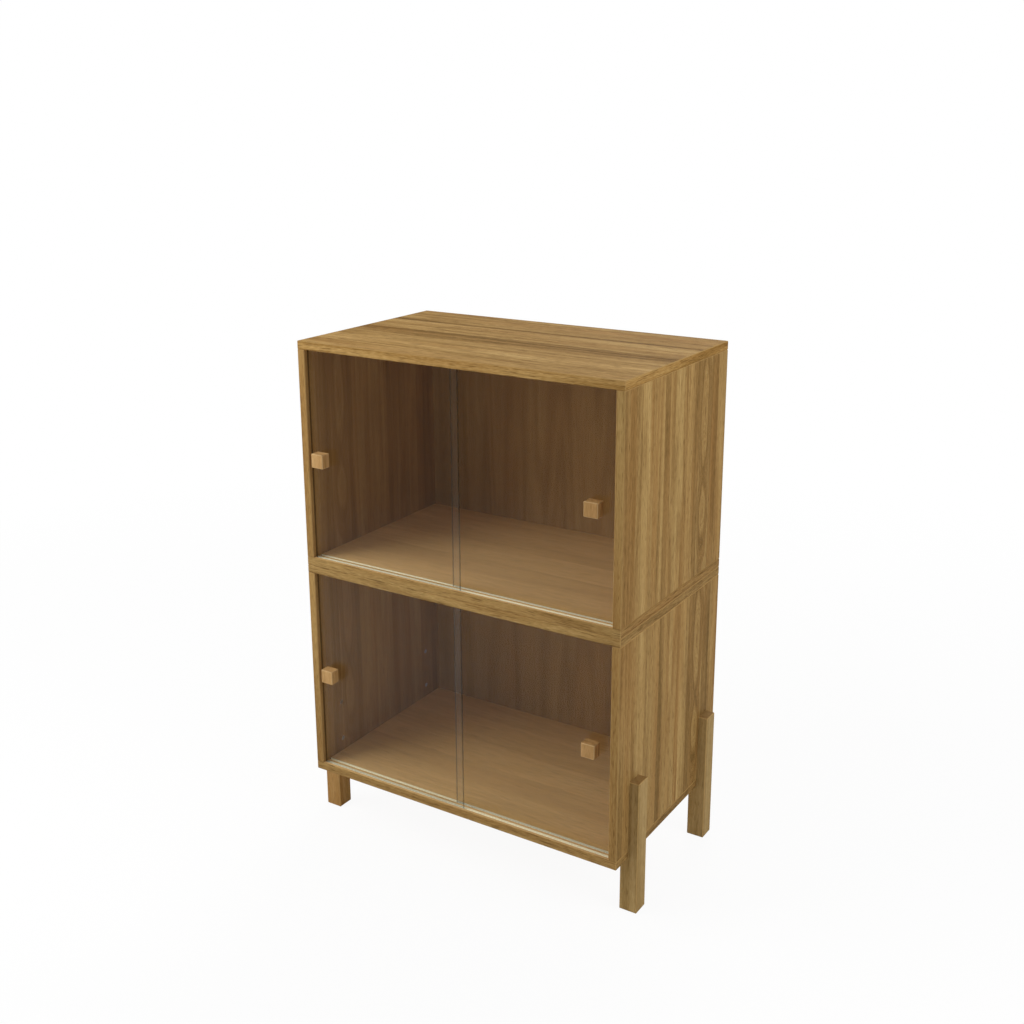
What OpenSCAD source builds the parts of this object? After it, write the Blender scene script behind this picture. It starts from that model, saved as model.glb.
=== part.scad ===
// Record cabinet: two stacked modules with sliding glass doors, on four lapped legs.
// X runs along the width, the front faces -Y, and Z rises from the floor.

/* [Carcass] */
// Width over the side panels
cab_w = 632; // [560:1:760]
// Depth of the boards from front edge to back edge
cab_d = 378; // [350:1:440]
// Height of one module
module_h = 407; // [380:1:460]
// Thickness of the boards
board_t = 15; // [14:0.5:22]
// Chamfer along the edges of boards and legs
edge_ease = 1.2; // [0.4:0.1:2]

/* [Back panel] */
// Thickness of the back panel
back_t = 5; // [3:0.5:8]
// How far the back panel reaches into each board around it
back_lap = 8; // [7:0.5:9]
// Clearance around the edge of the back panel
back_fit = 0.3; // [0.1:0.1:0.5]

/* [Door tracks] */
// Distance from the front edge of the boards to the middle of the front track
track_setback = 9; // [7:0.5:14]
// Distance between the middles of the two tracks
track_pitch = 10.5; // [9:0.5:14]
// Wall and floor thickness of a track
track_wall = 0.6; // [0.4:0.1:0.8]
// Depth of a lower track in its board
lower_track_d = 4.5; // [3.5:0.5:6]
// Depth of an upper track in its board
upper_track_d = 9.5; // [8:0.5:11]
// Clearance between a track and its groove
track_fit = 0.1; // [0.05:0.05:0.2]

/* [Doors] */
// Thickness of a door pane
pane_t = 4; // [3:0.5:5]
// Running clearance between a pane and its track
pane_fit = 0.2; // [0.1:0.05:0.4]
// How far a pane reaches up into the top board
pane_lift = 4; // [2:0.5:5]
// Gap between a closed pane and the side panel
pane_end_gap = 0.3; // [0.1:0.1:1]
// Width over which the two panes pass each other when closed
pane_overlap = 21; // [10:1:60]

/* [Knobs] */
// Width and height of a knob
knob_size = 25; // [18:1:36]
// Distance that a knob stands out from its pane
knob_d = 19; // [14:1:30]
// Chamfer along the edges of a knob
knob_ease = 1; // [0.3:0.1:2]
// Height of the knobs above the underside of their module
knob_z = 200.5; // [120:0.5:300]
// Distance from the left side panel to the middle of a left knob
left_knob_inset = 28; // [20:1:90]
// Distance from the right side panel to the middle of a right knob
right_knob_inset = 40; // [20:1:90]

/* [Knob screws] */
// Diameter of a knob screw
knob_screw_dia = 4; // [3:0.5:5]
// Length of a knob screw inside its knob
knob_screw_bite = 12; // [8:1:12]
// Diameter of a knob screw's head
knob_head_dia = 8; // [6:0.5:10]
// Height of a knob screw's head
knob_head_h = 2.4; // [1.5:0.1:2.6]
// Outer diameter of a knob washer
washer_dia = 11; // [9:0.5:16]
// Thickness of a knob washer
washer_t = 1; // [0.5:0.1:1.5]

/* [Legs] */
// Width and depth of a leg
leg_size = 32; // [26:1:45]
// Thickness of a leg outside the side panel
tongue_t = 17; // [14:0.5:20]
// Height of a leg's tongue above the underside of the body
tongue_h = 140; // [80:1:200]
// Height of the body above the floor
foot_h = 100; // [60:1:180]
// Distance from the front edge of the boards to the front legs
leg_front = 43; // [20:1:90]
// Distance from the back edge of the boards to the rear legs
leg_rear = 34; // [20:1:90]

/* [Leg screws] */
// Diameter of a leg screw
leg_screw_dia = 4; // [3:0.5:5]
// Diameter of a leg screw's countersunk head
leg_head_dia = 8; // [7:0.5:10]
// Length of a leg screw inside the tongue
leg_screw_bite = 12; // [8:1:12]
// Height of the lower leg screws above the underside of the body
leg_screw_low = 40; // [30:1:60]
// Distance of the upper leg screws below the top of the tongue
leg_screw_drop = 25; // [12:1:40]

/* [Dowels] */
// Diameter of a dowel
dowel_dia = 8; // [6:1:10]
// Length of the dowels that join boards
dowel_len = 30; // [24:1:40]
// Length of the dowels between the modules
stack_dowel_len = 19; // [14:1:20]
// Wood left between a dowel and the outer face of a board
dowel_cover = 5; // [3:0.5:6]
// Radial clearance of a dowel
dowel_fit = 0.1; // [0.05:0.05:0.2]
// Room beyond the end of a dowel
dowel_end_room = 0.5; // [0.2:0.1:1]
// Chamfer on the ends of a dowel
dowel_chamfer = 0.8; // [0.4:0.1:1.2]
// Distance from the front and back edges to the nearest dowels
dowel_margin = 28; // [26:1:60]
// Dowels in each joint between two boards
dowels_per_joint = 3; // [2:1:5]
// Distance from the ends of a board to the dowels between the modules
stack_margin = 50; // [30:1:90]

/* [Back screws] */
// Diameter of a back panel screw
back_screw_dia = 3; // [2.5:0.1:3.5]
// Length of a back panel screw
back_screw_len = 14; // [12:1:18]
// Diameter of a back panel screw's countersunk head
back_head_dia = 5.6; // [5:0.1:6]
// Distance from the corner of the opening to the nearest back screw
back_screw_corner = 45; // [25:1:80]
// Back screws along the top and along the bottom of a panel
back_screw_count_x = 4; // [2:1:6]
// Back screws along each side of a panel
back_screw_count_z = 3; // [2:1:5]

/* [Screws] */
// Radial clearance of a screw in the piece that it holds
screw_fit = 0.3; // [0.1:0.1:0.5]
// Radial clearance of a screw's thread in the piece that it bites into
thread_fit = 0.05; // [0.02:0.01:0.1]
// Room beyond the tip of a screw
tip_room = 1; // [0.5:0.1:2]
// Height of a countersunk head for each millimetre that it is wider than its screw
countersink_slope = 0.55; // [0.5:0.01:0.6]
// Width of the arms of a cross recess
cross_w = 0.8; // [0.5:0.1:1]
// Share of a head's diameter that its cross recess spans
cross_span = 0.5; // [0.3:0.05:0.6]
// Depth of a cross recess
cross_d = 1; // [0.5:0.1:1]

/* [Hidden] */
$fn = 48;
eps = 0.01;

inner_w = cab_w - 2 * board_t;
inner_h = module_h - 2 * board_t;

// The knobs of the front panes stand out past the boards, and the origin is centred on it all
knob_reach = max(0, knob_d + pane_t / 2 - track_setback);
front_y = -(cab_d + knob_reach) / 2 + knob_reach;
back_y = front_y + cab_d;
right_x = cab_w / 2;
inner_x = inner_w / 2;

lower_z = foot_h;
upper_z = lower_z + module_h;

// Widths and heights of the tracks and panes, heights measured from the underside of a module
track_w = pane_t + 2 * (pane_fit + track_wall);
front_track_y = front_y + track_setback;
rear_track_y = front_track_y + track_pitch;
pane_foot = board_t - lower_track_d + track_wall + pane_fit;
pane_head = module_h - board_t + pane_lift;
pane_w = (inner_w + pane_overlap) / 2 - pane_end_gap;
left_pane_x = -inner_x + pane_end_gap;
right_pane_x = inner_x - pane_end_gap - pane_w;
left_knob_x = -inner_x + left_knob_inset;
right_knob_x = inner_x - right_knob_inset;

// Dowels: the hole in a board stops short of its outer face
dowel_in_board = board_t - dowel_cover;
stack_in_board = stack_dowel_len / 2;

// Back screws stand in the middle of the rebate around the opening
back_screw_x = inner_x + back_lap / 2;
back_screw_z = inner_h / 2 + back_lap / 2;

// Evenly spread positions from a to b
function spread(n, a, b) = [for (i = [0 : n - 1]) a + (b - a) * i / (n - 1)];

dowel_ys = spread(dowels_per_joint, front_y + dowel_margin, back_y - dowel_margin);
stack_xs = [-right_x + stack_margin, right_x - stack_margin];
stack_ys = [front_y + stack_margin, back_y - stack_margin];
leg_ys = [front_y + leg_front + leg_size / 2, back_y - leg_rear - leg_size / 2];
leg_screw_zs = [leg_screw_low, tongue_h - leg_screw_drop];
back_screw_xs = spread(back_screw_count_x, -inner_x + back_screw_corner, inner_x - back_screw_corner);
back_screw_zs = spread(back_screw_count_z, -inner_h / 2 + back_screw_corner,
                 inner_h / 2 - back_screw_corner);

// Rectangle with its corners cut off at 45 degrees
module eased_outline(a, b, e) {
    polygon([[e, 0], [a - e, 0], [a, e], [a, b - e], [a - e, b], [e, b], [0, b - e], [0, e]]);
}

// Block from the origin with all twelve edges chamfered
module eased_block(w, d, h, e) {
    intersection() {
        linear_extrude(height = h) eased_outline(w, d, e);
        translate([0, d, 0]) rotate([90, 0, 0]) linear_extrude(height = d) eased_outline(w, h, e);
        rotate([90, 0, 90]) linear_extrude(height = w) eased_outline(d, h, e);
    }
}

// Cylinder along +Y from its base
module rod_y(dia, len) {
    rotate([-90, 0, 0]) cylinder(d = dia, h = len);
}

// Dowel along Z, centred on its length, with chamfered ends
module dowel(len) {
    r = dowel_dia / 2;
    c = dowel_chamfer;
    color([0.80, 0.66, 0.46])
    rotate_extrude()
        polygon([[0, -len / 2], [r - c, -len / 2], [r, -len / 2 + c],
                 [r, len / 2 - c], [r - c, len / 2], [0, len / 2]]);
}

// Holes for the dowels between the side panels and a board, from z_from up to z_to
module dowel_holes(z_from, z_to) {
    for (side = [-1, 1])
        for (y = dowel_ys)
            translate([side * (right_x - board_t / 2), y, z_from])
                cylinder(d = dowel_dia + 2 * dowel_fit, h = z_to - z_from);
}

// Holes for the dowels between the modules, from z_from up to z_to
module stack_holes(z_from, z_to) {
    for (x = stack_xs)
        for (y = stack_ys)
            translate([x, y, z_from])
                cylinder(d = dowel_dia + 2 * dowel_fit, h = z_to - z_from);
}

// Room for the back panel in the boards of a module that stands at z
module back_rebate(z) {
    translate([-inner_x - back_lap, back_y - back_t, z + board_t - back_lap])
        cube([inner_w + 2 * back_lap, back_t + eps, inner_h + 2 * back_lap]);
}

// Children at each back screw's place on the back face of the module that stands at z
module at_back_screws(z) {
    translate([0, back_y, z + module_h / 2]) {
        for (x = back_screw_xs)
            for (side = [-1, 1])
                translate([x, 0, side * back_screw_z]) children();
        for (side = [-1, 1])
            for (h = back_screw_zs)
                translate([side * back_screw_x, 0, h]) children();
    }
}

// Pilot holes for the back screws of the module that stands at z
module back_pilots(z) {
    at_back_screws(z)
        translate([0, -back_screw_len - tip_room, 0])
            rod_y(back_screw_dia + 2 * thread_fit, back_screw_len + tip_room + eps);
}

// Grooves for the two tracks between the side panels, from z_from up to z_to
module track_grooves(z_from, z_to) {
    w = track_w + 2 * track_fit;
    for (y = [front_track_y, rear_track_y])
        translate([-inner_x, y - w / 2, z_from]) cube([inner_w, w, z_to - z_from]);
}

// Top board of the module that stands at z, with stacking holes if another stands on it
module top_board(z, carries_module) {
    under = z + module_h - board_t;
    color([0.66, 0.52, 0.33])
    difference() {
        translate([-right_x, front_y, under]) eased_block(cab_w, cab_d, board_t, edge_ease);
        track_grooves(under - eps, under + upper_track_d);
        back_rebate(z);
        back_pilots(z);
        dowel_holes(under - eps, under + dowel_in_board);
        if (carries_module)
            stack_holes(under + board_t - stack_in_board - dowel_end_room, under + board_t + eps);
    }
}

// Bottom board of the module that stands at z, with stacking holes if it stands on another
module bottom_board(z, on_module) {
    over = z + board_t;
    color([0.64, 0.50, 0.31])
    difference() {
        translate([-right_x, front_y, z]) eased_block(cab_w, cab_d, board_t, edge_ease);
        track_grooves(over - lower_track_d, over + eps);
        back_rebate(z);
        back_pilots(z);
        dowel_holes(over - dowel_in_board, over + eps);
        if (on_module)
            stack_holes(z - eps, z + stack_in_board + dowel_end_room);
    }
}

// Side panel of the module that stands at z: side is -1 on the left and 1 on the right
module side_panel(side, z, has_legs) {
    foot = z + board_t;
    head = foot + inner_h;
    hole = dowel_len - dowel_in_board + dowel_end_room;
    color([0.62, 0.49, 0.31])
    difference() {
        translate([side > 0 ? inner_x : -right_x, front_y, foot])
            eased_block(board_t, cab_d, inner_h, edge_ease);
        back_rebate(z);
        back_pilots(z);
        dowel_holes(foot - eps, foot + hole);
        dowel_holes(head - hole, head + eps);
        if (has_legs)
            for (y = leg_ys)
                for (h = leg_screw_zs)
                    translate([side * inner_x, y, z + h]) leg_screw_hole(side);
    }
}

// Back panel of the module that stands at z
module back_panel(z) {
    w = inner_w + 2 * (back_lap - back_fit);
    h = inner_h + 2 * (back_lap - back_fit);
    color([0.56, 0.44, 0.29])
    difference() {
        translate([-w / 2, back_y - back_t, z + (module_h - h) / 2]) cube([w, back_t, h]);
        at_back_screws(z) {
            translate([0, -back_t - eps, 0])
                rod_y(back_screw_dia + 2 * screw_fit, back_t + 2 * eps);
            rotate([90, 0, 0]) countersink(back_screw_dia, back_head_dia);
        }
    }
}

// Cone of a countersunk head whose face lies on z = 0 and which points along +Z
module countersink(dia, head_dia) {
    cylinder(d1 = head_dia, d2 = dia, h = countersink_slope * (head_dia - dia));
}

// Cross recess in a head whose face lies on z = 0, sunk along +Z
module cross_recess(head_dia) {
    span = cross_span * head_dia;
    for (turn = [0, 90])
        rotate([0, 0, turn])
            translate([-span / 2, -cross_w / 2, -eps]) cube([span, cross_w, cross_d + eps]);
}

// Countersunk screw whose head's face lies on z = 0 and which points along +Z
module countersunk_screw(dia, head_dia, len) {
    tip = dia / 2;
    color([0.72, 0.72, 0.70])
    difference() {
        union() {
            countersink(dia, head_dia);
            cylinder(d = dia, h = len - tip);
            translate([0, 0, len - tip]) cylinder(d1 = dia, d2 = dia / 4, h = tip);
        }
        cross_recess(head_dia);
    }
}

// Screws that hold the back panel of the module that stands at z
module back_screws(z) {
    at_back_screws(z)
        rotate([90, 0, 0]) countersunk_screw(back_screw_dia, back_head_dia, back_screw_len);
}

// Dowels that join the four boards of the module that stands at z
module module_dowels(z) {
    board_mid = dowel_len / 2 - dowel_in_board;
    for (side = [-1, 1])
        for (y = dowel_ys)
            for (h = [board_t + board_mid, module_h - board_t - board_mid])
                translate([side * (right_x - board_t / 2), y, z + h]) dowel(dowel_len);
}

// Dowels that hold the upper module in place on the lower one
module stacking_dowels() {
    for (x = stack_xs)
        for (y = stack_ys)
            translate([x, y, upper_z]) dowel(stack_dowel_len);
}

// Channel for a pane, d deep, with its slot moved up or down by slot_shift
module track(y, z, d, slot_shift) {
    track_len = inner_w - 2 * track_fit;
    color([0.93, 0.87, 0.73])
    translate([-track_len / 2, y - track_w / 2, z])
    difference() {
        cube([track_len, track_w, d]);
        translate([-eps, track_wall, slot_shift])
            cube([track_len + 2 * eps, track_w - 2 * track_wall, d]);
    }
}

// Track in the bottom board of the module that stands at z, open upwards
module bottom_track(y, z) {
    track(y, z + board_t - lower_track_d, lower_track_d, track_wall);
}

// Track in the top board of the module that stands at z, open downwards
module top_track(y, z) {
    track(y, z + module_h - board_t, upper_track_d, -track_wall);
}

// Door pane whose left edge is at x, in the track at y, with the hole for its knob at knob_x
module door_pane(x, y, z, knob_x) {
    color([0.80, 0.88, 0.88, 0.35])
    difference() {
        translate([x, y - pane_t / 2, z + pane_foot]) cube([pane_w, pane_t, pane_head - pane_foot]);
        translate([knob_x, y - pane_t / 2 - eps, z + knob_z])
            rod_y(knob_screw_dia + 2 * screw_fit, pane_t + 2 * eps);
    }
}

// Cube knob on the front of the pane in the track at y
module knob(x, y, z) {
    color([0.74, 0.57, 0.36])
    difference() {
        translate([x - knob_size / 2, y - pane_t / 2 - knob_d, z + knob_z - knob_size / 2])
            eased_block(knob_size, knob_d, knob_size, knob_ease);
        translate([x, y - pane_t / 2 - knob_screw_bite - tip_room, z + knob_z])
            rod_y(knob_screw_dia + 2 * thread_fit, knob_screw_bite + tip_room + eps);
    }
}

// Pan-head screw from behind the pane in the track at y into its knob
module knob_screw(x, y, z) {
    grip = knob_screw_bite + pane_t + washer_t;
    color([0.72, 0.72, 0.70])
    translate([x, y + pane_t / 2 + washer_t + knob_head_h, z + knob_z])
    rotate([90, 0, 0])
    difference() {
        union() {
            pan_head();
            cylinder(d = knob_screw_dia, h = knob_head_h + grip);
        }
        cross_recess(knob_head_dia);
    }
}

// Pan head whose face lies on z = 0, with its rounded rim as a short cone
module pan_head() {
    rim = knob_head_h / 3;
    cylinder(d1 = knob_head_dia - 2 * rim, d2 = knob_head_dia, h = rim);
    translate([0, 0, rim]) cylinder(d = knob_head_dia, h = knob_head_h - rim);
}

// Washer between the pane in the track at y and its knob screw's head
module knob_washer(x, y, z) {
    color([0.90, 0.90, 0.88])
    translate([x, y + pane_t / 2, z + knob_z])
    difference() {
        rod_y(washer_dia, washer_t);
        translate([0, -eps, 0]) rod_y(knob_screw_dia + 2 * screw_fit, washer_t + 2 * eps);
    }
}

// Clearance hole of a leg screw through a side panel, from its inner face outwards
module leg_screw_hole(side) {
    rotate([0, side * 90, 0]) {
        translate([0, 0, -eps]) cylinder(d = leg_screw_dia + 2 * screw_fit, h = board_t + 2 * eps);
        countersink(leg_screw_dia, leg_head_dia);
    }
}

// Screws from inside the lower module into the tongues of the legs
module leg_screws() {
    for (side = [-1, 1])
        for (y = leg_ys)
            for (h = leg_screw_zs)
                translate([side * inner_x, y, lower_z + h])
                    rotate([0, side * 90, 0])
                        countersunk_screw(leg_screw_dia, leg_head_dia, board_t + leg_screw_bite);
}

// Outline of a right leg across the front: x = 0 is the outer face of the side panel
module leg_outline() {
    e = edge_ease;
    inner = leg_size - tongue_t;
    top = foot_h + tongue_h;
    polygon([[-inner + e, 0], [tongue_t - e, 0], [tongue_t, e], [tongue_t, top - e],
             [tongue_t - e, top], [0, top], [0, foot_h], [-inner, foot_h], [-inner, e]]);
}

// Leg on the left for side -1 or on the right for side 1, with its middle at y
module leg(side, y) {
    top = foot_h + tongue_h;
    color([0.66, 0.53, 0.34])
    mirror([side > 0 ? 0 : 1, 0, 0])
    translate([right_x, y - leg_size / 2, 0])
    difference() {
        intersection() {
            translate([0, leg_size, 0]) rotate([90, 0, 0])
                linear_extrude(height = leg_size) leg_outline();
            translate([tongue_t - leg_size, 0, 0])
                linear_extrude(height = top) eased_outline(leg_size, leg_size, edge_ease);
            translate([tongue_t - leg_size, 0, 0])
                rotate([90, 0, 90])
                    linear_extrude(height = leg_size) eased_outline(leg_size, top, edge_ease);
        }
        for (h = leg_screw_zs)
            translate([-eps, leg_size / 2, foot_h + h])
                rotate([0, 90, 0])
                    cylinder(d = leg_screw_dia + 2 * thread_fit, h = leg_screw_bite + tip_room);
    }
}

top_board(upper_z, false);  // upper_top_board
bottom_board(upper_z, true);  // upper_bottom_board
side_panel(-1, upper_z, false);  // upper_left_side
side_panel(1, upper_z, false);  // upper_right_side
back_panel(upper_z);  // upper_back_panel
module_dowels(upper_z);  // upper_dowels
back_screws(upper_z);  // upper_back_screws
bottom_track(front_track_y, upper_z);  // upper_bottom_front_track
bottom_track(rear_track_y, upper_z);  // upper_bottom_rear_track
top_track(front_track_y, upper_z);  // upper_top_front_track
top_track(rear_track_y, upper_z);  // upper_top_rear_track
door_pane(left_pane_x, front_track_y, upper_z, left_knob_x);  // upper_left_pane
knob(left_knob_x, front_track_y, upper_z);  // upper_left_knob
knob_screw(left_knob_x, front_track_y, upper_z);  // upper_left_knob_screw
knob_washer(left_knob_x, front_track_y, upper_z);  // upper_left_knob_washer
door_pane(right_pane_x, rear_track_y, upper_z, right_knob_x);  // upper_right_pane
knob(right_knob_x, rear_track_y, upper_z);  // upper_right_knob
knob_screw(right_knob_x, rear_track_y, upper_z);  // upper_right_knob_screw
knob_washer(right_knob_x, rear_track_y, upper_z);  // upper_right_knob_washer
top_board(lower_z, true);  // lower_top_board
bottom_board(lower_z, false);  // lower_bottom_board
side_panel(-1, lower_z, true);  // lower_left_side
side_panel(1, lower_z, true);  // lower_right_side
back_panel(lower_z);  // lower_back_panel
module_dowels(lower_z);  // lower_dowels
back_screws(lower_z);  // lower_back_screws
bottom_track(front_track_y, lower_z);  // lower_bottom_front_track
bottom_track(rear_track_y, lower_z);  // lower_bottom_rear_track
top_track(front_track_y, lower_z);  // lower_top_front_track
top_track(rear_track_y, lower_z);  // lower_top_rear_track
door_pane(left_pane_x, front_track_y, lower_z, left_knob_x);  // lower_left_pane
knob(left_knob_x, front_track_y, lower_z);  // lower_left_knob
knob_screw(left_knob_x, front_track_y, lower_z);  // lower_left_knob_screw
knob_washer(left_knob_x, front_track_y, lower_z);  // lower_left_knob_washer
door_pane(right_pane_x, rear_track_y, lower_z, right_knob_x);  // lower_right_pane
knob(right_knob_x, rear_track_y, lower_z);  // lower_right_knob
knob_screw(right_knob_x, rear_track_y, lower_z);  // lower_right_knob_screw
knob_washer(right_knob_x, rear_track_y, lower_z);  // lower_right_knob_washer
stacking_dowels();
leg_screws();
leg(-1, leg_ys[0]);  // front_left_leg
leg(1, leg_ys[0]);  // front_right_leg
leg(-1, leg_ys[1]);  // rear_left_leg
leg(1, leg_ys[1]);  // rear_right_leg
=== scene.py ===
from math import pi, radians

import bpy
from mathutils import Matrix, Vector


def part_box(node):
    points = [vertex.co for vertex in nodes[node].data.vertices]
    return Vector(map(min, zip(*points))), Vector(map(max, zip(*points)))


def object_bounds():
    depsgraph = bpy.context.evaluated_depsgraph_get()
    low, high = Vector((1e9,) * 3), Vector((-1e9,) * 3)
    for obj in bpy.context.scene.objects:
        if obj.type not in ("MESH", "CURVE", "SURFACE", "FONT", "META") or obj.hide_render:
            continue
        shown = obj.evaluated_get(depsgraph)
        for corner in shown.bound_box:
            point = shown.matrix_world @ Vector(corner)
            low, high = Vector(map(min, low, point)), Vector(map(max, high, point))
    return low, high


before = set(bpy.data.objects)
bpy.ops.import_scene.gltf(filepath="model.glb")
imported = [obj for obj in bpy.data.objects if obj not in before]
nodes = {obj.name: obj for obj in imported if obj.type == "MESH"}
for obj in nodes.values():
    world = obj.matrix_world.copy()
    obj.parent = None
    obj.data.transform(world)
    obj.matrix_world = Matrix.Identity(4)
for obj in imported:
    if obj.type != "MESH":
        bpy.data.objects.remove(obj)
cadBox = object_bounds()
print("frame loaded:", len(nodes), "pieces")

mm = 0.001
middle = 0.5                # the middle of every noise, ramp and tone
square = 0.9                # a face that looks this much along an axis lies square to it
partly = 0.3                # one that looks this much along it may also be an eased edge
tilted = 0.2                # and one that looks this much up or down isn't upright
skin = 0.0005               # how near to a plane, in metres, a face still lies on it


# An sRGB colour, each part from 0 to 255, as the linear colour that a shader takes
def paint(red, green, blue):
    parts = [part / 255 for part in (red, green, blue)]
    return [((p + 0.055) / 1.055) ** 2.4 if p > 0.04 else p / 12.92 for p in parts] + [1]


def grey(value):
    return (value, value, value, 1)


# One output in a material's nodes. Each operator adds the Math node that it stands for.
class Wire:
    def __init__(self, finish, socket):
        self.finish = finish
        self.socket = socket

    def output(self, name):
        return Wire(self.finish, self.socket.node.outputs[name])

    def maths(self, operation, *others):
        sockets = dict(enumerate((self,) + others))
        return self.finish.node("ShaderNodeMath", {"operation": operation}, sockets)

    def __add__(self, other):
        return self.maths("ADD", other)

    __radd__ = __add__

    def __mul__(self, other):
        return self.maths("MULTIPLY", other)

    __rmul__ = __mul__

    def __sub__(self, other):
        return self.maths("SUBTRACT", other)

    def __rsub__(self, other):
        return self * -1 + other

    def __truediv__(self, other):
        return self.maths("DIVIDE", other)

    def __gt__(self, other):
        return self.maths("GREATER_THAN", other)

    def __lt__(self, other):
        return self.maths("LESS_THAN", other)

    def __pow__(self, other):
        return self.maths("POWER", other)

    def __abs__(self):
        return self.maths("ABSOLUTE")

    def clip(self):
        return self.finish.node("ShaderNodeClamp", {}, {0: self})

    def largest(self, *others):
        found = self
        for other in others:
            found = found.maths("MAXIMUM", other)
        return found


# The nodes of a material or of the world: node() adds any of them, the rest are short for it
class Finish:
    def __init__(self, owner):
        if isinstance(owner, str):
            owner = bpy.data.materials.new(owner)
        owner.use_nodes = True
        self.owner = owner
        self.tree = owner.node_tree
        self.tree.nodes.clear()

    def node(self, kind, settings, sockets, output=0):
        made = self.tree.nodes.new(kind)
        for name, value in settings.items():
            if name == "stops":
                self.setStops(made.color_ramp.elements, value)
            elif name == "steps":
                made.color_ramp.interpolation = "CONSTANT"
                self.setStops(made.color_ramp.elements, value)
            else:
                setattr(made, name, value)
        for name, value in sockets.items():
            if isinstance(value, Wire):
                self.tree.links.new(value.socket, made.inputs[name])
            else:
                made.inputs[name].default_value = value
        return Wire(self, made.outputs[output]) if made.outputs else None

    def setStops(self, elements, stops):
        while len(elements) > 1:
            elements.remove(elements[-1])
        elements[0].position, elements[0].color = stops[0]
        for position, color in stops[1:]:
            elements.new(position).color = color

    def split(self, vector):
        apart = self.node("ShaderNodeSeparateXYZ", {}, {0: vector})
        return apart, apart.output("Y"), apart.output("Z")

    def place(self):
        return self.split(self.node("ShaderNodeTexCoord", {}, {}, "Object"))

    def normal(self):
        return self.split(self.node("ShaderNodeNewGeometry", {}, {}, "True Normal"))

    # How much a face looks along X, Y and Z, either way
    def facing(self):
        return [abs(part) for part in self.normal()]

    # Whether a face leans up, for a way of 1, or down, for -1
    def leans(self, way):
        return self.normal()[2] * way > tilted

    def noise(self, x, y, z, detail=2):
        where = self.node("ShaderNodeCombineXYZ", {}, {0: x, 1: y, 2: z})
        spread = {"Vector": where, "Scale": 1, "Detail": detail, "Roughness": 0.5}
        return self.node("ShaderNodeTexNoise", {}, spread)

    def ramp(self, amount, stops):
        return self.node("ShaderNodeValToRGB", {"stops": stops}, {0: amount})

    def mix(self, amount, first, second):
        sockets = {0: amount, 6: first, 7: second}
        return self.node("ShaderNodeMix", {"data_type": "RGBA"}, sockets, 2)

    def bump(self, height, distance):
        sockets = {"Height": height, "Distance": distance, "Strength": 1}
        return self.node("ShaderNodeBump", {}, sockets)

    def surface(self, shader, kind="ShaderNodeOutputMaterial"):
        self.node(kind, {}, {"Surface": shader})
        return self.owner

    def principled(self, sockets):
        return self.node("ShaderNodeBsdfPrincipled", {}, sockets)


# Oiled wood with straight grain: lengths in metres, contrasts and lifts as shares of the ramp
oiledWood = {
    "ramp": [
        (0.00, paint(68, 47, 20)),
        (0.25, paint(110, 83, 41)),
        (0.50, paint(145, 113, 65)),
        (0.75, paint(172, 140, 86)),
        (1.00, paint(194, 163, 107)),
    ],
    "stave": 0.55,
    "stavesApart": 37,          # how far off in the noise a stave of another tone lies
    "wobble": 0.006,            # how far the grain strays from its straight line
    "wobbleWidth": 0.09,
    "wobbleLength": 0.5,
    "wobblesApart": 9,          # the same for the way that its grain strays
    "figureWidth": 0.060,
    "figureLength": 0.9,
    "figureRings": 7,
    "figure": 0.08,
    "bandWidth": 0.016,
    "bandLength": 0.9,
    "band": 0.40,
    "streakWidth": 0.0035,
    "streakLength": 0.22,
    "streak": 0.36,
    "fibreWidth": 0.0010,
    "fibreLength": 0.012,
    "fibre": 0.60,
    "fleckWidth": 0.0018,
    "fleckLength": 0.020,
    "fleckStart": 0.58,         # flecks begin at this much noise and are full so much above it
    "fleckFade": 0.1,
    "fleckColor": paint(74, 48, 20),
    "fleck": 0.42,
    "warmWidth": 0.05,          # warm patches: their size, where they begin and how fast
    "warmLength": 0.5,
    "warmStart": 0.42,
    "warmGain": 3,
    "warmApart": 5,
    "warmColor": paint(160, 108, 50),
    "warmth": 0.3,
    # Inner faces are painted paler, painted light that stands in for the light the lamps don't bring
    # inside; the legs use the same mix to darken their end grain
    "innerLightAndEndGrainColor": paint(172, 132, 86),
    "inner": 0.4,
    "innerPaintedLift": 0.0,           # painted light: what the grain of an inner face gains in lightness, against the shade inside
    # Painted highlight: the pale colour that eased edges take, as where they catch the light
    "paintedEdgeHighlightColor": paint(190, 154, 98),
    "paintedEdgeHighlightGain": 5,             # how fast the painted highlight on an eased edge turns pale as it leaves the square
    "paintedEdgeHighlight": 0.5,
    "roughness": 0.62,
    "fibreRoughness": 0.3,
    "fleckRoughness": 0.1,
    "shine": 0.06,
    "relief": 0.0001,
    "streakRelief": 0.5,
    "fleckRelief": 0.4,
}
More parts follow.
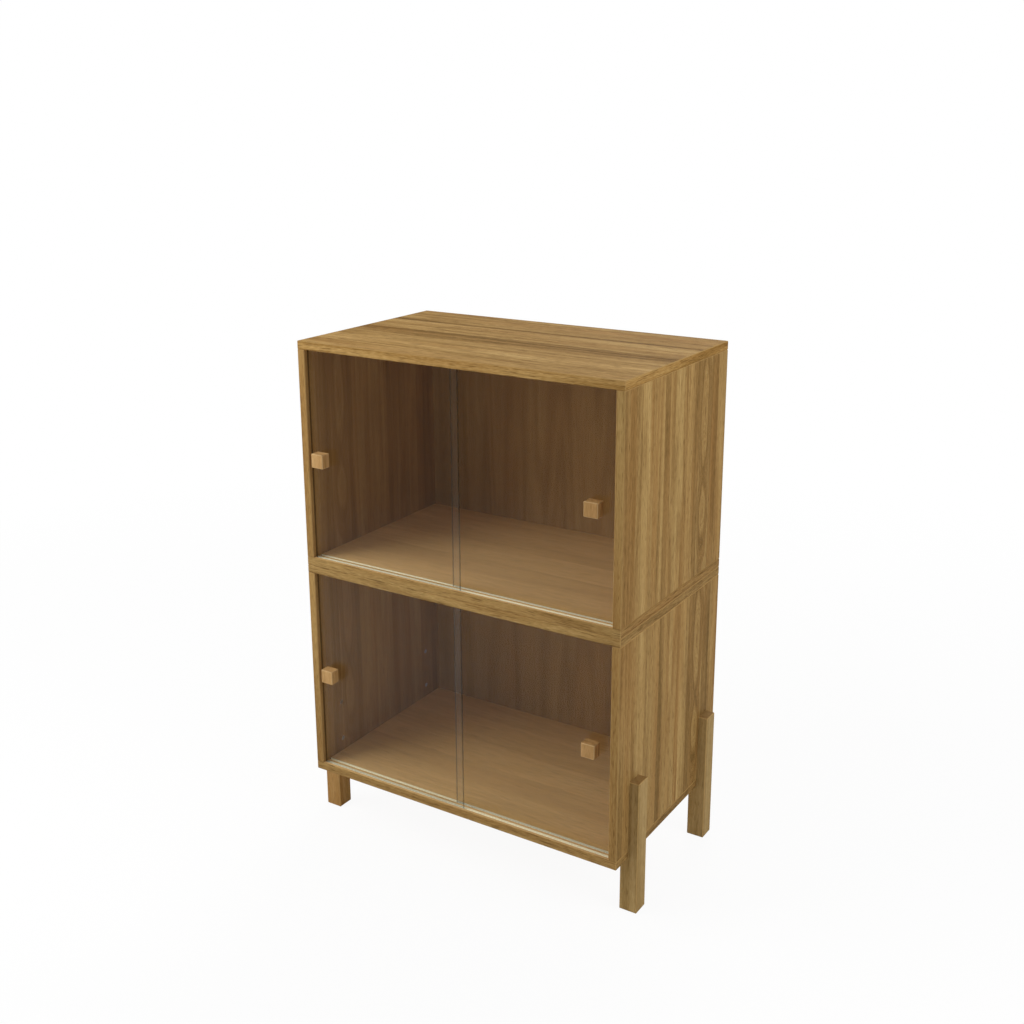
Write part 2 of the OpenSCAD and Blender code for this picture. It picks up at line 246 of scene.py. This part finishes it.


# Wood grain that runs with along. The tone is the lightness of a stave and also picks its own
# grain, lift is lightness added to that grain, and the seed sets pieces apart. Inside marks an inner
# face, painted paler as painted light against the shade inside; on the legs it marks the end grain,
# which is darker. The edge share is how much painted highlight its eased edges get.
def wood(finish, look, along, across, deep, tone, seed, inside=0, paintedEdgeHighlightShare=1, lift=0):
    sway = across / look["wobbleWidth"] + seed
    wobble = finish.noise(sway, along / look["wobbleLength"], tone * look["wobblesApart"]) - middle
    line = across + wobble * look["wobble"]
    own = tone * look["stavesApart"] + seed

    def grain(name, detail=2):
        width = look[name + "Width"]
        length = look[name + "Length"]
        return finish.noise(line / width, along / length, deep / width + own, detail) - middle

    rings = (grain("figure", 1) * (look["figureRings"] * 2 * pi)).maths("SINE")
    streak = grain("streak")
    fibre = grain("fibre")
    flecks = ((grain("fleck") + middle - look["fleckStart"]) / look["fleckFade"]).clip()

    light = middle + (tone - middle) * look["stave"] + rings * look["figure"] + lift
    light = light + grain("band", 1) * look["band"]
    light = light + streak * look["streak"] + fibre * look["fibre"]
    # Painted light: an inner face gains lightness and a paler colour; on the legs the same mix
    # darkens the end grain
    if inside:
        light = light + inside * look["innerPaintedLift"]
    color = finish.ramp(light, look["ramp"])
    warmest = own + look["warmApart"]
    warmth = finish.noise(line / look["warmWidth"], along / look["warmLength"], warmest)
    warmth = ((warmth - look["warmStart"]) * look["warmGain"]).clip()
    color = finish.mix(warmth * look["warmth"], color, look["warmColor"])
    color = finish.mix(flecks * look["fleck"], color, look["fleckColor"])
    if inside:
        color = finish.mix(inside * look["inner"], color, look["innerLightAndEndGrainColor"])

    facingX, facingY, facingZ = finish.facing()
    # Painted highlight: eased edges turn pale, as where they catch the light
    paintedEdgeHighlight = ((1 - facingX.largest(facingY, facingZ)) * look["paintedEdgeHighlightGain"]).clip()
    color = finish.mix(paintedEdgeHighlight * look["paintedEdgeHighlight"] * paintedEdgeHighlightShare, color, look["paintedEdgeHighlightColor"])
    roughness = fibre * look["fibreRoughness"] + flecks * look["fleckRoughness"]
    relief = fibre + streak * look["streakRelief"] - flecks * look["fleckRelief"]
    return finish.principled({
        "Base Color": color,
        "Roughness": roughness + look["roughness"],
        "Normal": finish.bump(relief, look["relief"]),
        "Specular IOR Level": look["shine"],
    })


# The boards differ from the sides in their flecks, in their inner faces, painted paler still as
# painted light against the shade inside, and in their edge strips, which are darker over the ends.
# The top one also has lighter colours and is more matt.
boardLook = dict(oiledWood, band=0.28, fibre=0.75, fleckLength=0.034, fleckStart=0.55, fleck=0.5,
                 strip=0.78, endStrip=0.55, innerLightAndEndGrainColor=paint(250, 206, 144), inner=0.45,
                 innerPaintedLift=0.24)
topLook = dict(boardLook, band=0.4, stave=0.5, shine=0.02, roughness=0.7, strip=0.62,
               endStrip=0.6, ramp=[
    (0.00, paint(72, 50, 21)),
    (0.25, paint(120, 90, 43)),
    (0.50, paint(157, 121, 67)),
    (0.75, paint(186, 150, 92)),
    (1.00, paint(208, 173, 113)),
])

# Staves across a panel from the front, each with its width in mm and its tone
sideStaves = [(18, 0.52), (22, 0.47), (22, 0.63), (26, 0.92), (10, 0.70), (18, 0.56), (22, 0.67),
              (16, 0.38), (22, 0.69), (13, 0.82), (18, 0.83), (15, 0.66), (21, 0.86), (11, 0.62),
              (16, 0.20), (9, 0.42), (18, 0.36), (19, 0.70), (26, 0.30), (9, 0.62), (27, 0.70)]
innerStaves = [(90, 0.55), (60, 0.3), (70, 0.7), (40, 0.4), (118, 0.6)]
topStaves = [(55, 0.8), (45, 1.0), (40, 0.8), (30, 0.45), (22, 0.2), (48, 0.8),
             (30, 0.95), (12, 0.2), (40, 0.6), (56, 0.75)]

# How far a stave's edge wanders, and over what length and width, in metres
staveDrift = {"reach": 0.010, "length": 0.25, "width": 0.08, "seed": 1}


# Tone of the stave that lies so deep in a panel of that size
def staves(finish, along, depth, size, widths):
    total = sum(width for width, _ in widths)
    steps = []
    reach = 0
    for width, tone in widths:
        steps.append((reach / total, grey(tone)))
        reach += width
    wander = finish.noise(along / staveDrift["length"], depth / staveDrift["width"],
                          staveDrift["seed"]) - middle
    share = (depth + wander * staveDrift["reach"]) / size
    return finish.node("ShaderNodeValToRGB", {"steps": steps}, {0: share})


# What each board's edge strips gain in lightness: those in front and behind, then the end ones
stripLifts = {
    "upper_top_board": (0.0, -0.03),
    "upper_bottom_board": (-0.02, -0.065),
    "lower_top_board": (0.0, -0.05),
    "lower_bottom_board": (0.01, -0.03),
}

edgeShift = 0.3             # sets the grain of a narrow face apart from that of the wide ones
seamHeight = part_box("upper_bottom_board")[0].z
seamReach = 0.002           # so near the seam, between the posts, two boards read as one rail, without a painted highlight on their edges
roof = cadBox[1].z - skin   # every flat face below this is an inner one
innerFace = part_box("upper_right_side")[0].x + skin


# Veneered board with its grain along X, and strips along Y over its two ends. Its eased edges get a
# painted pale highlight, except those that lean down, away from the light, those of a bottom board
# that lean up, and the seam's.
def boardWood(name, node, look, widths, seed):
    finish = Finish(name)
    x, y, z = finish.place()
    facingX, facingY, facingZ = finish.facing()
    end = facingX > square
    flat = facingZ > square
    low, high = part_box(node)
    tone = staves(finish, x, y - low.y, high.y - low.y, widths)
    strip = end * (look["endStrip"] - look["strip"]) + look["strip"]
    tone = tone * flat + strip * (1 - flat)
    longLift, endLift = stripLifts[node]
    lift = (end * (endLift - longLift) + longLift) * (1 - flat)
    along = x * (1 - end) + y * end
    across = y * flat + z * (1 - flat)
    # Flat inner faces, painted paler as painted light against the shade inside
    inside = flat * (z < roof)
    seam = (abs(z - seamHeight) < seamReach) * (facingY > partly) * (abs(x) < innerFace)
    # Edges that get no painted highlight: those that lean down, away from the light, and the seam's
    unhighlitEdges = seam.largest(finish.leans(-1))
    if "bottom" in node:
        unhighlitEdges = unhighlitEdges.largest(finish.leans(1))
    deep = end * edgeShift
    highlitEdges = 1 - unhighlitEdges
    return finish.surface(wood(finish, look, along, across, deep, tone, seed, inside, highlitEdges, lift))


# Loops in the grain of a side panel: how far behind the front edge and above the panel's foot
# each one is centred, its half width and its half length, all in mm
sideLoops = [(291, 290, 15, 105), (293, 112, 14, 64)]
loopTones = [(0.0, grey(0.15)), (0.1, grey(0.65)), (0.4, grey(0.8)), (0.6, grey(0.18)),
             (0.75, grey(0.5)), (0.87, grey(0.3)), (1.0, grey(0.5))]
loopReach = 1.6             # where the last ring ends, in half widths

# How ragged the rings are, in half widths, and over what width and length, in metres
loopRag = {"reach": 1.1, "width": 0.016, "length": 0.09, "seed": 3}


# Share of the way out of the nearest loop, from 0 at its heart to 1 past its last ring
def loopShare(finish, depth, height):
    shares = []
    for loopDepth, loopHeight, halfWidth, halfLength in sideLoops:
        aside = (depth - loopDepth * mm) / (halfWidth * mm)
        above = (height - loopHeight * mm) / (halfLength * mm)
        shares.append((aside * aside + above * above) ** 0.5)
    nearest = shares[0].maths("MINIMUM", *shares[1:])
    ragged = finish.noise(depth / loopRag["width"], height / loopRag["length"],
                          loopRag["seed"]) - middle
    return ((nearest + ragged * loopRag["reach"]) / loopReach).clip()


# The narrow faces of the sides, in front and behind, get lighter from foot to head
postLook = {"tone": 0.5, "footLift": 0.04, "headLift": 0.18}


# Veneered side panel with its grain upright; the left ones are laid the other way round. Its
# eased edges get a painted pale highlight, except those that lean down, away from the light.
def sideWood(name, node, turned, seed):
    finish = Finish(name)
    x, y, z = finish.place()
    edge = finish.facing()[1] > square
    low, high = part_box(node)
    depth = high.y - y if turned else y - low.y
    height = z - low.z
    ring = loopShare(finish, depth, height)
    tone = staves(finish, z, depth, high.y - low.y, sideStaves)
    tone = finish.mix(ring < 1, tone, finish.ramp(ring, loopTones))
    tone = tone * (1 - edge) + edge * postLook["tone"]
    rise = postLook["headLift"] - postLook["footLift"]
    lift = (height / (high.z - low.z) * rise + postLook["footLift"]) * edge
    across = y * (1 - edge) + x * edge
    deep = edge * edgeShift
    # Inner faces, painted paler as painted light against the shade inside
    inside = abs(x) < innerFace
    highlitEdges = 1 - finish.leans(-1)
    return finish.surface(wood(finish, oiledWood, z, across, deep, tone, seed, inside, highlitEdges, lift))


# Solid upright wood of the legs, darker in its end grain
legLook = dict(oiledWood, ramp=[
    (0.0, paint(96, 72, 36)),
    (0.4, paint(154, 125, 76)),
    (0.7, paint(178, 150, 100)),
    (1.0, paint(196, 170, 120)),
], band=0.3, bandWidth=0.010, streakWidth=0.003, streak=0.3, fleck=0.3,
    innerLightAndEndGrainColor=paint(130, 94, 52), inner=0.55, tone=0.58)

solidSlant = 0.4            # share of Y in the grain across solid wood, so that every side shows it


def legWood(name, warmth, seed):
    finish = Finish(name)
    x, y, z = finish.place()
    look = dict(legLook, warmth=warmth)
    end = finish.facing()[2] > square
    return finish.surface(wood(finish, look, z, x + y * solidSlant, y, look["tone"], seed, end))


# Solid wood of the knobs, with its grain upright and a painted pale highlight on its eased edges
knobLook = dict(oiledWood, ramp=[
    (0.0, paint(132, 94, 50)),
    (0.5, paint(190, 150, 98)),
    (1.0, paint(216, 182, 130)),
], bandWidth=0.008, streakWidth=0.002, streak=0.25, fleck=0.2, warmth=0.1,
    paintedEdgeHighlightColor=paint(226, 200, 152), paintedEdgeHighlight=0.35)


def knobWood(name, tone, seed):
    finish = Finish(name)
    x, y, z = finish.place()
    return finish.surface(wood(finish, knobLook, z, x + y * solidSlant, y, tone, seed))


# Thin ply of the back panels, with its grain upright, its inner face painted paler as painted light
# against the shade inside, and no painted highlight on its edges
backLook = dict(oiledWood, bandWidth=0.03, bandLength=1.4, streak=0.2, paintedEdgeHighlight=0.0, tone=0.45)


def backWood(name, seed):
    finish = Finish(name)
    x, y, z = finish.place()
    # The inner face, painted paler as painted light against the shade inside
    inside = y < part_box("upper_back_panel")[0].y + skin
    return finish.surface(wood(finish, backLook, z, x, y, backLook["tone"], seed, inside))


# Turned beech of the dowels, hidden in the joints
dowelLook = dict(oiledWood, ramp=[
    (0.0, paint(176, 140, 98)),
    (0.5, paint(206, 173, 130)),
    (1.0, paint(224, 196, 158)),
], warmth=0.1, tone=0.5, seed=3)


def dowelWood(name):
    finish = Finish(name)
    x, y, z = finish.place()
    look = dowelLook
    return finish.surface(wood(finish, look, z, x + y * solidSlant, y, look["tone"], look["seed"]))


# Clear polished float glass, a little green where its edges are seen
glassLook = {
    "tint": (0.985, 0.99, 0.985, 1),
    "face": 0.5,                # a face that looks less than this to the front is an edge
    "edgeColor": paint(40, 44, 32),
    "edgeCover": 0.45,
    "edgeRoughness": 0.15,
    "edgeShine": 0.2,
    "straightOn": 0.04,         # what clean glass mirrors square on, more when it is seen aslant
    "rise": 5,                  # how late and how steeply it gets more
    "reflection": 0.35,
    "roughness": 0.02,
}


def doorGlass(name):
    finish = Finish(name)
    edge = finish.facing()[1] < glassLook["face"]
    clear = finish.node("ShaderNodeBsdfTransparent", {}, {"Color": glassLook["tint"]})
    mirror = finish.node("ShaderNodeBsdfGlossy", {}, {"Roughness": glassLook["roughness"]})
    rim = finish.principled({
        "Base Color": glassLook["edgeColor"],
        "Roughness": glassLook["edgeRoughness"],
        "Specular IOR Level": glassLook["edgeShine"],
    })
    aslant = finish.node("ShaderNodeLayerWeight", {}, {"Blend": 0.5}, "Facing")
    sheen = aslant ** glassLook["rise"] * (1 - glassLook["straightOn"]) + glassLook["straightOn"]
    sheen = sheen * glassLook["reflection"]
    face = finish.node("ShaderNodeMixShader", {}, {0: sheen, 1: clear, 2: mirror})
    cover = edge * glassLook["edgeCover"]
    return finish.surface(finish.node("ShaderNodeMixShader", {}, {0: cover, 1: face, 2: rim}))


# Smooth cream extrusion that the panes run in, with fine marks drawn along it
trackLook = {
    "colors": (paint(255, 246, 214), paint(255, 250, 226)),
    "dragLength": 0.3,
    "dragWidth": 0.0008,
    "roughness": 0.3,
    "unevenness": 0.15,
    "relief": 0.00004,
}


def trackPlastic(name):
    finish = Finish(name)
    x, y, z = finish.place()
    width = trackLook["dragWidth"]
    drag = finish.noise(x / trackLook["dragLength"], y / width, z / width)
    return finish.surface(finish.principled({
        "Base Color": finish.mix(drag, *trackLook["colors"]),
        "Roughness": trackLook["roughness"] + drag * trackLook["unevenness"],
        "Normal": finish.bump(drag, trackLook["relief"]),
    }))


# Zinc plated steel of the screws
screwLook = {
    "colors": (paint(170, 171, 170), paint(205, 204, 198)),
    "metal": 1.0,
    "cloud": 0.003,
    "detail": 3,
    "roughness": 0.25,
    "unevenness": 0.2,
}

# Natural nylon of the knob washers
washerLook = {
    "colors": (paint(226, 224, 215), paint(240, 239, 232)),
    "metal": 0.0,
    "cloud": 0.004,
    "detail": 2,
    "roughness": 0.4,
    "unevenness": 0.15,
}


# Plain stuff with a faint cloud in its colour and its roughness
def cloudedStuff(name, look):
    finish = Finish(name)
    x, y, z = finish.place()
    size = look["cloud"]
    cloud = finish.noise(x / size, y / size, z / size, look["detail"])
    return finish.surface(finish.principled({
        "Base Color": finish.mix(cloud, *look["colors"]),
        "Metallic": look["metal"],
        "Roughness": look["roughness"] + cloud * look["unevenness"],
    }))


def dress(node, material):
    mesh = nodes[node].data
    mesh.materials.clear()
    mesh.materials.append(material)


# Where each piece starts in the noise; the sides of both modules are cut from the same veneer
seeds = {
    "upper": {"board": 3, "side": 21, "knob": 31, "back": 41},
    "lower": {"board": 5, "side": 21, "knob": 32, "back": 42},
}
knobTones = {"left": 0.5, "right": 0.15}
legs = {
    "front_left": {"warmth": 0.6, "seed": 51},
    "front_right": {"warmth": 0.1, "seed": 52},
    "rear_left": {"warmth": 0.3, "seed": 53},
    "rear_right": {"warmth": 0.1, "seed": 54},
}

glass = doorGlass("doorGlass")
plastic = trackPlastic("trackPlastic")
steel = cloudedStuff("screwSteel", screwLook)
nylon = cloudedStuff("washerPlastic", washerLook)
beech = dowelWood("dowelWood")
for module, own in seeds.items():
    for board in ("top", "bottom"):
        node = f"{module}_{board}_board"
        shown = node == "upper_top_board"
        look = topLook if shown else boardLook
        widths = topStaves if shown else innerStaves
        dress(node, boardWood(module + board.title() + "Wood", node, look, widths, own["board"]))
    for side in ("left", "right"):
        node = f"{module}_{side}_side"
        turned = side == "left"
        dress(node, sideWood(module + side.title() + "SideWood", node, turned, own["side"]))
        dress(f"{module}_{side}_pane", glass)
        knob = knobWood(module + side.title() + "KnobWood", knobTones[side], own["knob"])
        dress(f"{module}_{side}_knob", knob)
        dress(f"{module}_{side}_knob_screw", steel)
        dress(f"{module}_{side}_knob_washer", nylon)
    dress(module + "_back_panel", backWood(module + "BackWood", own["back"]))
    dress(module + "_dowels", beech)
    dress(module + "_back_screws", steel)
    for track in ("bottom_front", "bottom_rear", "top_front", "top_rear"):
        dress(f"{module}_{track}_track", plastic)
dress("stacking_dowels", beech)
dress("leg_screws", steel)
for leg, own in legs.items():
    dress(leg + "_leg", legWood(leg.replace("_", "") + "LegWood", own["warmth"], own["seed"]))
print("pieces dressed")


studio = {
    "floorSize": 60.0,
    "floorColor": grey(0.88),
    "floorGlow": 0.93,      # share of plain white that the camera sees in the floor near by
    "fadeStart": 0.9,       # from this far out, in metres, the floor fades into the white
    "fadeLength": 1.6,
    "sky": 0.40,            # level of the world as it lights the cabinet
}


# A pale floor that fades into the white round it and still takes the shadow
def layFloor():
    bpy.ops.mesh.primitive_plane_add(size=studio["floorSize"])
    floor = bpy.context.object
    floor.name = "floor"
    finish = Finish("floor")
    where = finish.node("ShaderNodeTexCoord", {}, {}, "Object")
    reach = finish.node("ShaderNodeVectorMath", {"operation": "LENGTH"}, {0: where}, "Value")
    fade = ((reach - studio["fadeStart"]) / studio["fadeLength"]).clip()
    glow = fade * (1 - studio["floorGlow"]) + studio["floorGlow"]
    seen = finish.node("ShaderNodeLightPath", {}, {}, "Is Camera Ray")
    matt = finish.node("ShaderNodeBsdfDiffuse", {}, {"Color": studio["floorColor"]})
    white = finish.node("ShaderNodeEmission", {}, {"Color": grey(1), "Strength": 1.0})
    shader = finish.node("ShaderNodeMixShader", {}, {0: seen * glow, 1: matt, 2: white})
    floor.data.materials.append(finish.surface(shader))


# Plain soft light from all round; the eye, and what glass and metal mirror, see white
def lightSky():
    world = bpy.data.worlds.new("studio")
    finish = Finish(world)
    path = finish.node("ShaderNodeLightPath", {}, {}, "Is Camera Ray")
    seen = path.largest(path.output("Is Glossy Ray"), path.output("Is Transmission Ray"))
    level = seen * (1 - studio["sky"]) + studio["sky"]
    white = finish.node("ShaderNodeBackground", {}, {"Color": grey(1), "Strength": level})
    finish.surface(white, "ShaderNodeOutputWorld")
    bpy.context.scene.world = world


# Lamps: where each stands and what it looks at in metres, its size and its power in watts
lamps = {
    "key": {"place": (-1.25, -1.0, 1.35), "target": (-0.15, 0, 0.5), "size": 1.2, "power": 20.5},
    "fill": {"place": (1.6, 0.0, 1.35), "target": (0.3, 0, 0.55), "size": 1.0, "power": 10.8},
    "back": {"place": (-0.8, 3.4, 2.4), "target": (0, 0, 0.5), "size": 2.0, "power": 56},
}


def hangLamps():
    for name, lamp in lamps.items():
        data = bpy.data.lights.new(name, "AREA")
        data.size = lamp["size"]
        data.energy = lamp["power"]
        thing = bpy.data.objects.new(name, data)
        place = Vector(lamp["place"])
        aim = (Vector(lamp["target"]) - place).to_track_quat("-Z", "Y")
        thing.matrix_world = Matrix.Translation(place) @ aim.to_matrix().to_4x4()
        bpy.context.scene.collection.objects.link(thing)


# The photograph's own view: turned from the front, tilted down, with the horizon off level
viewpoint = {
    "place": (1.1509, -1.8123, 1.3109),
    "turn": 32.34,
    "tilt": 15.36,
    "roll": -0.235,
    "lens": 44.957,
    "sensor": 36.0,
    "rise": -0.0601,
    "farEnd": 200,
}


def setCamera():
    data = bpy.data.cameras.new("camera")
    data.lens = viewpoint["lens"]
    data.sensor_width = viewpoint["sensor"]
    data.shift_y = viewpoint["rise"]
    data.clip_end = viewpoint["farEnd"]
    camera = bpy.data.objects.new("camera", data)
    turn = Matrix.Rotation(radians(viewpoint["turn"]), 4, "Z")
    tilt = Matrix.Rotation(radians(90 - viewpoint["tilt"]), 4, "X")
    roll = Matrix.Rotation(radians(viewpoint["roll"]), 4, "Z")
    camera.matrix_world = Matrix.Translation(Vector(viewpoint["place"])) @ turn @ tilt @ roll
    bpy.context.scene.collection.objects.link(camera)
    bpy.context.scene.camera = camera


layFloor()
lightSky()
hangLamps()
setCamera()
bpy.context.scene.view_settings.view_transform = "Standard"
print("studio set")
